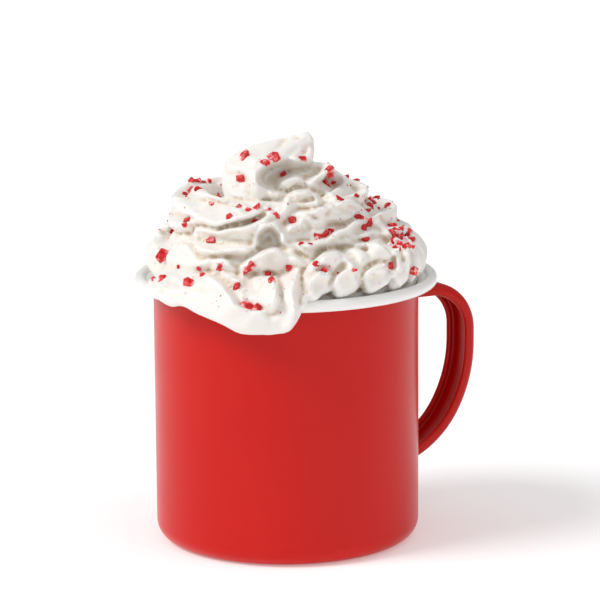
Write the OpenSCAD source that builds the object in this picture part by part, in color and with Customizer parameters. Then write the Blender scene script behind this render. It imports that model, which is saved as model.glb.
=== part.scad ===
// Hot chocolate in an enamelled steel mug, topped with piped whipped cream.
// Origin: centre of the base, on the mug's axis. Z is up and the handle points along +X.
// The cream is laid out in the serving frame: x to the right, y away, seen from its front.

/* [Mug] */
// Outer diameter of the straight body
body_d = 88; // [78:0.5:106]
// Height of the rim above the table
mug_h = 89.4; // [82:0.2:108]
// Thickness of the enamelled wall
wall = 1.1; // [0.8:0.1:1.8]
// Radius of the rounded bottom corner
corner_r = 6; // [4:0.5:9]
// Width of the flat ring the mug stands on
foot_w = 4.5; // [3:0.5:8]
// How far the base panel is pressed up inside the ring
base_rise = 1.2; // [0.6:0.1:2]

/* [Rim] */
// How far the lip stands out past the body
lip_reach = 6.3; // [5.2:0.1:8]
// Diameter of the rolled edge of the lip
bead_d = 3.8; // [3:0.1:4.6]
// Bend radius of the flare under the lip
flare_r = 3; // [1.5:0.1:3]

/* [Handle] */
// Width of the pressed strip
strip_w = 14; // [11:0.5:18]
// Depth of the strip's channel, from its outer face
strip_depth = 4.2; // [3.6:0.1:6]
// Thickness of the strip's metal and enamel
strip_t = 1.3; // [1:0.1:1.6]
// Diameter of the strip's rolled edges
edge_d = 2; // [1.7:0.1:2.4]
// How far the handle reaches past the body
handle_reach = 25.4; // [21:0.2:32]
// How far the handle's upper face lies below the rim
handle_drop = 8.2; // [6.6:0.1:13]
// Radius of the bend at the top
top_bend_r = 17; // [12:0.5:18]
// Length of the upright grip
grip_l = 5.2; // [2:0.2:12]
// Radius of the sweep under the grip
sweep_r = 46; // [40:1:50]
// How far the straight end stands off the body
landing = 3.4; // [2:0.2:5]
// Length of the tabs welded to the body
tab_l = 9; // [6:0.5:12]

/* [Drink] */
// Depth of the hot chocolate below the rim
drink_drop = 13; // [8:1:30]

/* [Cream] */
// Height of the piled cream above the rim, to its tip
cream_h = 47; // [39:1:57]
// How far the foot of the pile stays inside the lip's outer edge
pile_inset = 5.3; // [4.5:0.1:8]
// Turns of piped rope from the rim to the tip
coils = 3; // [2:0.5:4]
// How far each turn of rope swells out of the pile
rope_swell = 6; // [3:0.25:7]
// Depth of the grooves left by the nozzle's teeth
groove_depth = 3; // [1:0.25:3.5]
// Ridges around the rope, one for each tooth of the nozzle
ridges = 6; // [4:2:8]
// How many ridges slant across one turn of rope
rope_twist = 5; // [3:1:8]
// How far the cream that runs over the lip hangs below the rim
drape_drop = 10; // [7:0.5:11.5]
// Thickness of the cream that hangs over the lip
drape_t = 5; // [3.5:0.25:6]

/* [Hidden] */

fine = 96;                      // sides of the large round forms
body_r = body_d / 2;
bore_r = body_r - wall;
lip_r = body_r + lip_reach;
bead_r = bead_d / 2;
bead_z = mug_h - bead_r;
flare_z = bead_z - wall / 2 - flare_r;   // where the wall starts to turn outwards
panel_r = body_r - corner_r - foot_w - base_rise;
drink_z = mug_h - drink_drop;
facing = -27;                   // turn of the serving front about the mug's axis
eps = 0.01;
over = 1;                       // how far cutting shapes run past what they cut

sweep_a = 30;                   // angle turned by the sweep under the grip
landing_a = 65;                 // angle from upright at which the handle comes in
handle_top = mug_h - handle_drop;
grip_x = body_r + handle_reach;
tuck_r = (handle_reach - landing - sweep_r * (1 - cos(sweep_a))) / (cos(sweep_a) - cos(landing_a));
tuck_x = grip_x - sweep_r * (1 - cos(sweep_a));
grip_top_z = handle_top - top_bend_r;
grip_low_z = grip_top_z - grip_l;
tuck_z = grip_low_z - sweep_r * sin(sweep_a);
landing_x = tuck_x - tuck_r * (cos(sweep_a) - cos(landing_a));
landing_z = tuck_z - tuck_r * (sin(landing_a) - sin(sweep_a));
bury = 2;                       // the strip runs this far past the body's face before it is trimmed
corner_bend_r = 2.4;            // outer radius of the strip's long edges

// The pile's outline from the foot to the tip: reach in parts of pile_r, height in parts of cream_h
pile_r = lip_r - pile_inset;
pile_reach = [0.97, 0.92, 0.82, 0.71, 0.53, 0.31, 0.22, 0.12, 0.02];
pile_rise = [0.03, 0.13, 0.28, 0.44, 0.56, 0.66, 0.78, 0.90, 0.99];
lean_x = [0, -1, -2.5, -3, -2, 0, 1, 4, 7];
lean_y = [0, 0, 0, 0, 1, 1, 1, 2, 2];
around = 72;                    // stations round the pile
pile_levels = 32;               // and up it
edge_stations = 11;             // and along the underside past the flare
swell_tilt = 30;                // the rope swells out of the pile at this angle above level
fullness = 0.7;                 // power that makes the rope's round fuller than a sine
swell_loss = 0.45;              // share of the swell and of the grooves lost at the tip
groove_loss = 0.5;
foot_fade = 0.06;               // shares of the height over which both fade in and out
tip_fade = 0.12;

// The cream's edge on the lip, with angles measured from the right-hand side of the front
bead_start = 150;               // angle round the rolled edge where the cream first meets it
seat = 0.1;                     // clearance between the cream and the lip
drape_from = -146;
drape_to = -81;
drape_fade_in = 34;
drape_fade_out = 13;
lobe_count = 3;
lobe_depth = 2.2;
shells = 16;                    // waves of the edge where it stays on the lip
edge_rest = 0.3;
edge_wave = 0.9;
edge_t = 1.4;                   // thickness of the edge where it rests on the lip
wrap_fill = 0.95;               // how much of the drape's thickness stands out past the lip
// Round of the edge upwards from its lower end, in parts of its thickness
resting_edge = [[-0.05, 0.3], [-0.05, 0.6], [-0.1, 0.9], [-0.2, 1.2]];
hanging_edge = [[0.30, -0.16], [0.78, 0.15], [1.0, 0.5]];
// How the edge runs into the foot of the pile, in parts of the same thickness
resting_shoulder = [0, 0.6];
hanging_shoulder = [0.35, 0.8];
shoulder_at = 0.6;              // share of the way from the edge's end to the foot

// ---- mug ----

// Outline of the mug's outside, from the base to the start of the flare
module outside_2d() {
    difference() {
        square([body_r, flare_z]);
        outer_corner_2d(body_r, 0, corner_r);
        polygon([[-over, -over], [-over, base_rise], [panel_r, base_rise], [panel_r + base_rise, 0],
            [panel_r + base_rise, -over]]);
    }
}

// What a rounded corner leaves out of a square one, at radius r and height z
module outer_corner_2d(r, z, round_r) {
    difference() {
        translate([r - round_r, z - over]) square([round_r + over, round_r + over]);
        translate([r - round_r, z - 2 * over]) square([round_r - eps, 2 * over]);
        translate([r - round_r, z + round_r]) circle(round_r, $fn = fine);
    }
}

// Outline of the hollow, up to a given height
module inside_2d(top) {
    difference() {
        translate([0, wall]) square([bore_r, top - wall]);
        outer_corner_2d(bore_r, wall, corner_r - wall);
        polygon([[-over, 0], [-over, base_rise + wall], [panel_r, base_rise + wall],
            [panel_r + base_rise, wall], [panel_r + base_rise, 0]]);
    }
}

// The flare and the rolled edge
module lip_2d() {
    intersection() {
        translate([body_r - wall, flare_z]) square([flare_r + wall, flare_r + wall]);
        translate([body_r + flare_r, flare_z]) difference() {
            circle(flare_r + wall, $fn = fine);
            circle(flare_r, $fn = fine);
        }
    }
    translate([body_r + flare_r, flare_z + flare_r]) square([lip_reach - flare_r - bead_r, wall]);
    translate([lip_r - bead_r, bead_z]) circle(bead_r, $fn = fine);
}

module mug() {
    color([0.80, 0.13, 0.11])
    rotate_extrude($fn = fine) union() {
        difference() {
            outside_2d();
            inside_2d(flare_z + over);
        }
        lip_2d();
    }
}

// ---- handle ----

// Long edge of the strip, from its rolled lip to its outer face: x = 0 is the outer face and
// the channel opens towards -x. The first list is the outside, the second the inside.
strip_edge =
    let (half = strip_w / 2, e = edge_d / 2, mid = [-strip_depth + e, half - e],
        bend_mid = [-corner_bend_r, half - corner_bend_r])
    [
        concat(
            [for (t = [15, 50, 90]) mid + e * [-cos(t), sin(t)]],
            [for (t = [0 : 30 : 90]) bend_mid + corner_bend_r * [sin(t), cos(t)]]),
        concat(
            [for (t = [15, 60, 120]) mid - e * [cos(t), sin(t)]],
            [for (t = [0 : 30 : 90]) bend_mid + (corner_bend_r - strip_t) * [sin(t), cos(t)]]),
    ];
strip_outside = concat(strip_edge[0], [for (k = [len(strip_edge[0]) - 1 : -1 : 0])
    [strip_edge[0][k][0], -strip_edge[0][k][1]]]);
strip_inside = concat(strip_edge[1], [for (k = [len(strip_edge[1]) - 1 : -1 : 0])
    [strip_edge[1][k][0], -strip_edge[1][k][1]]]);

// Arc of [x, z, outward angle] stations along the outer face
function arc_stations(x, z, r, from, to, step) =
    [for (a = [from : step : to]) [x + r * cos(a), z + r * sin(a), a]];

handle_stations = concat(
    [[body_r - bury, handle_top, 90]],
    arc_stations(grip_x - top_bend_r, grip_top_z, top_bend_r, 90, 0, -9),
    arc_stations(grip_x - sweep_r, grip_low_z, sweep_r, 0, -sweep_a, -6),
    arc_stations(tuck_x - tuck_r * cos(sweep_a), tuck_z + tuck_r * sin(sweep_a), tuck_r,
        -sweep_a - 7, -landing_a, -7),
    [[landing_x - landing - bury, landing_z - (landing + bury) / tan(landing_a), -landing_a]]);

// The strip: every station carries the same section, closed off by quads at both ends
module strip() {
    m = len(strip_outside);
    n = len(handle_stations);
    section = concat(strip_outside, [for (k = [m - 1 : -1 : 0]) strip_inside[k]]);
    points = [for (st = handle_stations, q = section)
        [st[0] + q[0] * cos(st[2]), q[1], st[1] + q[0] * sin(st[2])]];
    sides = [for (i = [0 : n - 2], k = [0 : 2 * m - 1])
        let (a = i * 2 * m + k, b = i * 2 * m + (k + 1) % (2 * m))
        each [[a, b + 2 * m, b], [a, a + 2 * m, b + 2 * m]]];
    last = (n - 1) * 2 * m;
    caps = [for (k = [0 : m - 2])
        let (far = 2 * m - 1 - k)
        each [[k, k + 1, far - 1], [k, far - 1, far],
            [last + k, last + far - 1, last + k + 1], [last + k, last + far, last + far - 1]]];
    polyhedron(points = points, faces = concat(sides, caps));
}

// Flattened end of the strip, bent to the body and welded there
module tab(z0, z1) {
    intersection() {
        translate([0, 0, z0]) difference() {
            cylinder(h = z1 - z0, r = body_r + strip_t, $fn = fine);
            translate([0, 0, -over]) cylinder(h = z1 - z0 + 2 * over, r = body_r, $fn = fine);
        }
        translate([0, -strip_w / 2, z0]) cube([body_r + 2 * strip_t, strip_w, z1 - z0]);
    }
}

module handle() {
    low_z = landing_z - landing / tan(landing_a);
    color([0.78, 0.12, 0.10])
    union() {
        difference() {
            strip();
            cylinder(h = mug_h, r = body_r, $fn = fine);
        }
        tab(handle_top - strip_t / 2 - tab_l, handle_top - strip_t / 2);
        tab(low_z + strip_t / 2 - tab_l, low_z + strip_t / 2);
    }
}

// ---- drink ----

module hot_chocolate() {
    color([0.36, 0.20, 0.12]) rotate_extrude($fn = fine) inside_2d(drink_z);
}

// ---- cream ----

// Value of a list of evenly spaced stations at s from 0 to 1, eased from each to the next
function along(list, s) =
    let (n = len(list) - 1, q = max(0, min(s, 1)) * n, k = min(floor(q), n - 1), t = q - k)
    list[k] + (list[k + 1] - list[k]) * (1 - cos(180 * t)) / 2;
function smooth(t) = let (q = max(0, min(t, 1))) q * q * (3 - 2 * q);

// How much of the full drape hangs at an angle: it fades out at both ends and has lobes
function drape_share(a) =
    smooth((a - drape_from) / drape_fade_in) * smooth((drape_to - a) / drape_fade_out);
function lobes(a) =
    pow(abs(sin(lobe_count * 180 * (a - drape_from) / (drape_to - drape_from))), fullness);

// Way of the cream's edge past the flare: round the rolled edge, then straight down
function past_lip(way) =
    let (r = bead_r + seat, a = bead_start - way / r * 180 / PI)
    a > 0 ? [lip_r - bead_r + r * cos(a), bead_z + r * sin(a)]
          : [lip_r + seat, bead_z - (way - r * bead_start * PI / 180)];

function edge_way(a) =
    let (round = (bead_r + seat) * bead_start * PI / 180,
        full = round + drape_drop - bead_r - lobe_depth * (1 - lobes(a)),
        short = edge_rest + edge_wave * (1 - cos(shells * a)) / 2)
    short + (full - short) * drape_share(a);

// Angle on the flare at which the cream passes from the flare to the rolled edge: where the two
// rounds cross, or the top of the flare when they lie apart
valley_a =
    let (dx = lip_reach - flare_r - bead_r, dz = flare_r + wall / 2, d = norm([dx, dz]),
        near = flare_r + wall + seat, far = bead_r + seat)
    max(90, atan2(dz, dx) + acos(min(1, (near * near + d * d - far * far) / (2 * near * d))));

// Underside, from the axis out over the drink, up the wall and over the lip, as [r, z] stations
function underside(a) = concat(
    [[bore_r - eps, drink_z], [bore_r - eps, flare_z]],
    [for (f = [155, 136, 117, valley_a])
        [body_r + flare_r, flare_z] + (flare_r + wall + seat) * [cos(f), sin(f)]],
    [for (k = [0 : edge_stations]) past_lip(edge_way(a) * k / edge_stations)]);

// Rolled edge of the cream, from the end of its underside to the foot of the pile: where it
// stays on the lip it is a low round edge, where it drapes it wraps round the lip
function mix(p, q, t) = p + (q - p) * t;
function cream_edge(a) =
    let (share = drape_share(a), end = past_lip(edge_way(a)), foot = pile_point(a, 0),
        thick = edge_t + (drape_t - edge_t) * share)
    [
        for (k = [0 : len(hanging_edge) - 1]) end + thick * mix(resting_edge[k], hanging_edge[k], share),
        mix(end + thick * resting_edge[3], [lip_r + seat + thick * wrap_fill, bead_z], share),
        mix(mix(end, foot, shoulder_at) + thick * resting_shoulder,
            [lip_r, mug_h] + thick * hanging_shoulder, share),
    ];

// Surface of the pile at angle a and height share t: an outline, swollen by the coiled rope
// and grooved by the nozzle's ridges
function pile_point(a, t) =
    let (turn = coils * t - a / 360, f = turn - floor(turn),
        fade = smooth(t / foot_fade) * smooth((1 - t) / tip_fade),
        swell = rope_swell * (1 - swell_loss * t) * pow(sin(180 * f), fullness),
        crest = pow((1 + cos(360 * (ridges / 2 * turn - rope_twist * a / 360))) / 2, fullness),
        out = (swell - groove_depth * (1 - groove_loss * t) * (1 - crest)) * fade)
    [along(pile_reach, t) * pile_r, mug_h + cream_h * along(pile_rise, t)]
        + out * [cos(swell_tilt), sin(swell_tilt)];

function profile(a) = concat(underside(a), cream_edge(a),
    [for (k = [0 : pile_levels - 1]) pile_point(a, k / pile_levels)]);

function lean(t) = [along(lean_x, t), along(lean_y, t)];

module whipped_cream() {
    outlines = [for (i = [0 : around - 1]) profile(360 * i / around - 180)];
    m = len(outlines[0]);
    first_pile = m - pile_levels;
    points = concat(
        [for (i = [0 : around - 1], k = [0 : m - 1])
            let (a = 360 * i / around - 180, q = outlines[i][k],
                shift = k < first_pile ? [0, 0] : lean((k - first_pile) / pile_levels))
            [shift[0] + q[0] * cos(a), shift[1] + q[0] * sin(a), q[1]]],
        [[0, 0, drink_z], [lean(1)[0], lean(1)[1], mug_h + cream_h]]);
    bottom = around * m;
    skin = [for (i = [0 : around - 1], k = [0 : m - 2])
        let (p = i * m + k, q = ((i + 1) % around) * m + k)
        each [[p, q + 1, q], [p, p + 1, q + 1]]];
    base = [for (i = [0 : around - 1]) [bottom, i * m, ((i + 1) % around) * m]];
    top = [for (i = [0 : around - 1]) [bottom + 1, ((i + 1) % around) * m + m - 1, i * m + m - 1]];
    color([0.96, 0.94, 0.91])
        rotate([0, 0, facing]) polyhedron(points = points, faces = concat(skin, base, top));
}

mug();
handle();
hot_chocolate();
whipped_cream();
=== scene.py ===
import math
import random

import bmesh
import bpy
import numpy as np
from mathutils import Matrix, Vector, noise
from mathutils.bvhtree import BVHTree


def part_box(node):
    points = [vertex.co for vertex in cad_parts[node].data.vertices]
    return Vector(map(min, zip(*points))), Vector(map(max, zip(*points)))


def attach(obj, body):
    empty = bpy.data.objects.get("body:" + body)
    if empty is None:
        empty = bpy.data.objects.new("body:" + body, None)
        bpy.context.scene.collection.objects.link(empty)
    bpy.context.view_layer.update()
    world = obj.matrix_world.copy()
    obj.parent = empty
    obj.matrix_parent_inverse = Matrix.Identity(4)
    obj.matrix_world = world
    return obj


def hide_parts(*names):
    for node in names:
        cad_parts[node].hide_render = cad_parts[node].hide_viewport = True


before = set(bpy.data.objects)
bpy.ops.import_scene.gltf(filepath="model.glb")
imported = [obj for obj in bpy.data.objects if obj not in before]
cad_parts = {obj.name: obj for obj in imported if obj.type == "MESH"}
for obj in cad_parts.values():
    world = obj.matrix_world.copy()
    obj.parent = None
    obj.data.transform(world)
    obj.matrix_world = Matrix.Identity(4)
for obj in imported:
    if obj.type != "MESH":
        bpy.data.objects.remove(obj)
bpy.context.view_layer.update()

MM = 0.001
TAU = 2 * math.pi

# The serving front is turned about the mug's axis. The camera looks at a point on the axis, at
# VIEW_HEIGHT, from VIEW_DISTANCE in front of it and VIEW_UP above the level.
FRONT_TURN = math.radians(-27)
VIEW_DISTANCE = 0.997
VIEW_HEIGHT = 0.0798
VIEW_UP = math.radians(11.72)
VIEW_ROLL = math.radians(0.465)
RIGHT = Vector((math.cos(FRONT_TURN), math.sin(FRONT_TURN), 0))
BACK = Vector((math.sin(FRONT_TURN) * math.cos(VIEW_UP), -math.cos(FRONT_TURN) * math.cos(VIEW_UP),
               math.sin(VIEW_UP)))
UP = BACK.cross(RIGHT)


# ---- sizes, from the frame and the part's own dimensions ----

MUG_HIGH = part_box("mug")[1]
RIM_Z = MUG_HIGH.z / MM
LIP_R = MUG_HIGH.x / MM
LIP_REACH = 6.3         # how far the rolled lip stands out from the body
BODY_R = LIP_R - LIP_REACH
WALL = 1.1
CORNER_R = 6.0
FOOT_W = 4.5            # width of the ring it stands on
BASE_RISE = 1.2         # how far the base panel is pressed up
BEAD_R = 1.9            # radius of the rolled edge
FLARE_R = 3.0
DRINK_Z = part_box("hot_chocolate")[1].z / MM
CREAM_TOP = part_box("whipped_cream")[1].z / MM
HANDLE_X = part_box("handle")[1].x / MM
HANDLE_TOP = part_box("handle")[1].z / MM


# ---- small helpers ----

def new_object(name, verts, faces, smooth=True):
    """A mesh object from points in millimetres."""
    mesh = bpy.data.meshes.new(name)
    mesh.from_pydata([tuple(c * MM for c in v) for v in verts], [], faces)
    mesh.update()
    obj = bpy.data.objects.new(name, mesh)
    bpy.context.collection.objects.link(obj)
    if smooth:
        mesh.polygons.foreach_set("use_smooth", [True] * len(mesh.polygons))
    return obj


def apply_modifiers(obj):
    """Bakes the object's modifiers into its mesh."""
    deps = bpy.context.evaluated_depsgraph_get()
    mesh = bpy.data.meshes.new_from_object(obj.evaluated_get(deps))
    old = obj.data
    obj.modifiers.clear()
    obj.data = mesh
    mesh.name = obj.name
    bpy.data.meshes.remove(old)
    return obj


def catmull(rows, steps):
    """Dense rows along a Catmull-Rom curve through the given rows."""
    p = np.array(rows, float)
    p = np.vstack([2 * p[0] - p[1], p, 2 * p[-1] - p[-2]])
    out = []
    for i in range(1, len(p) - 2):
        a, b, c, d = p[i - 1], p[i], p[i + 1], p[i + 2]
        for t in np.arange(steps) / steps:
            out.append(0.5 * (2 * b + (c - a) * t + (2 * a - 5 * b + 4 * c - d) * t * t
                              + (3 * b - a - 3 * c + d) * t ** 3))
    out.append(p[-2])
    return np.array(out)


def polar(angle, reach, z, r):
    """A route point given by its angle round the mug in degrees, its reach and its height."""
    a = math.radians(angle)
    return [reach * math.cos(a), reach * math.sin(a), z, r]


# ---- whipped cream ----

class CreamStock:
    """Collects closed tubes of cream, to be merged into one skin."""

    def __init__(self):
        self.verts = []
        self.faces = []

    def add(self, rings):
        """rings: array of rings of points; both ends are closed by a fan."""
        count, sides = rings.shape[0], rings.shape[1]
        base = len(self.verts)
        self.verts.extend(map(tuple, rings.reshape(-1, 3)))
        for i in range(count - 1):
            for k in range(sides):
                a = base + i * sides + k
                b = base + i * sides + (k + 1) % sides
                self.faces.append((a, b, b + sides, a + sides))
        for ring, flip in ((0, True), (count - 1, False)):
            centre = len(self.verts)
            self.verts.append(tuple(rings[ring].mean(0)))
            for k in range(sides):
                a = base + ring * sides + k
                b = base + ring * sides + (k + 1) % sides
                self.faces.append((b, a, centre) if flip else (a, b, centre))


def rope(stock, rows, ridges=6, groove=None, sharp=1.4, twist=-2.0, phase=0.0, flat=1.0, up=(0, 0, 1),
         steps=6, wobble=0.08, seed=0, sides=72):
    """Pipes a grooved rope through rows of [x, y, z, radius], or with a groove depth as fifth value.

    ridges, groove and sharp shape the star section, twist turns it in degrees per mm,
    flat squashes it along its up direction, wobble makes it uneven along its length."""
    path = catmull(rows, steps)
    centre = path[:, :3]
    radius = np.maximum(path[:, 3], 0.3)
    grooves = path[:, 4] if groove is None else np.full(len(path), groove)
    tangent = np.gradient(centre, axis=0)
    tangent /= np.linalg.norm(tangent, axis=1)[:, None]
    length = np.concatenate([[0], np.cumsum(np.linalg.norm(np.diff(centre, axis=0), axis=1))])
    normal = np.array(up, float)
    around = np.arange(sides) / sides * TAU
    rings = []
    for i in range(len(path)):
        normal = normal - tangent[i] * normal.dot(tangent[i])
        normal /= np.linalg.norm(normal)
        side = np.cross(tangent[i], normal)
        turn = math.radians(phase + twist * length[i])
        wave = noise.noise(Vector((length[i] * 0.09, seed * 7.3, 0.0)))
        turn += wobble * 4 * wave
        a = around + turn
        crest = ((1 + np.cos(ridges * a)) / 2) ** sharp
        tooth = np.round(ridges * a / TAU) % ridges
        uneven = np.array([noise.noise(Vector((length[i] * 0.16, t * 3.7 + seed, 5.0)))
                           for t in range(ridges)])
        height = 1 + wobble * 2.2 * uneven[tooth.astype(int)]
        q = radius[i] * (1 - grooves[i] + grooves[i] * crest * height) * (1 + wobble * wave)
        ring = (centre[i] + (q * np.cos(around) * flat)[:, None] * normal
                + (q * np.sin(around))[:, None] * side)
        rings.append(ring)
    stock.add(np.array(rings))


def coil_row(angle, reach, z, r):
    """A row of the coil: smooth and drawn back at the front, where FOLDS carries the detail."""
    front = max(0.0, math.cos(math.radians(angle - 262))) ** 0.6
    return polar(angle, reach - 3.5 * front, z, r - 1.0 * front) + [0.45 - 0.4 * front]


COIL = [
    coil_row(20, 34.5, 96, 9), coil_row(60, 36.5, 96, 9.5), coil_row(90, 37, 96, 9.5),
    coil_row(120, 37, 95.5, 9.5), coil_row(150, 38, 95.5, 9.5), coil_row(180, 38, 95, 9.8),
    coil_row(210, 38, 95.5, 9.8), coil_row(240, 37, 96, 9.5), coil_row(270, 36, 97, 9.2),
    coil_row(300, 34, 98.5, 9), coil_row(330, 33, 100.5, 9), coil_row(360, 33, 102.5, 9),
    coil_row(390, 32, 104, 9), coil_row(425, 31, 105.5, 9.2), coil_row(460, 31, 107, 9.4),
    coil_row(500, 31, 108.5, 9.5), coil_row(540, 31.5, 109.5, 9.5), coil_row(570, 30.5, 109, 9.5),
    coil_row(600, 28.5, 108.5, 9.5), coil_row(630, 26.5, 108, 9.5), coil_row(660, 25.5, 109, 9.2),
    coil_row(690, 23.5, 110.5, 9), coil_row(720, 21, 112, 8.6), coil_row(755, 18, 114, 8.5),
    coil_row(795, 14.5, 116, 8.5), coil_row(835, 12, 118, 8.6), coil_row(870, 11, 120, 8.8),
    coil_row(900, 10, 121.3, 8.6),
]

# The last of the rope: up the left of the top, over it and out to a leaning tip
CROWN = [
    [-8, -11, 112, 7, 0.1], [-12, -7, 116.5, 8.4, 0.1], [-12.5, -3, 121.3, 8.6, 0.12],
    [-9, -1, 124, 8, 0.15], [-4.5, 0, 126.6, 6.8, 0.2], [-0.5, 0.5, 128.8, 5.6, 0.2],
    [3, 0.5, 131, 4.4, 0.25], [6, 0.5, 133.4, 3, 0.25], [8, 0.8, CREAM_TOP - 0.8, 1.2, 0.1],
]

# The heart of the tip, and the shoulder to its right
TIP = [[0, 0, 121, 8, 0.1], [4, 0, 125.5, 6.2, 0.15], [6.3, 0.2, 129.5, 4, 0.25], [7.4, 0.5, 133, 2.4, 0.3],
       [7.8, 0.6, 135, 1.4, 0.2]]
SHOULDER = [[4, -1, 120, 8, 0.2], [8.5, -2, 122.3, 5, 0.3], [12, -3, 124, 3, 0.3],
            [15, -4, 124.8, 1.4, 0.2]]

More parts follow.
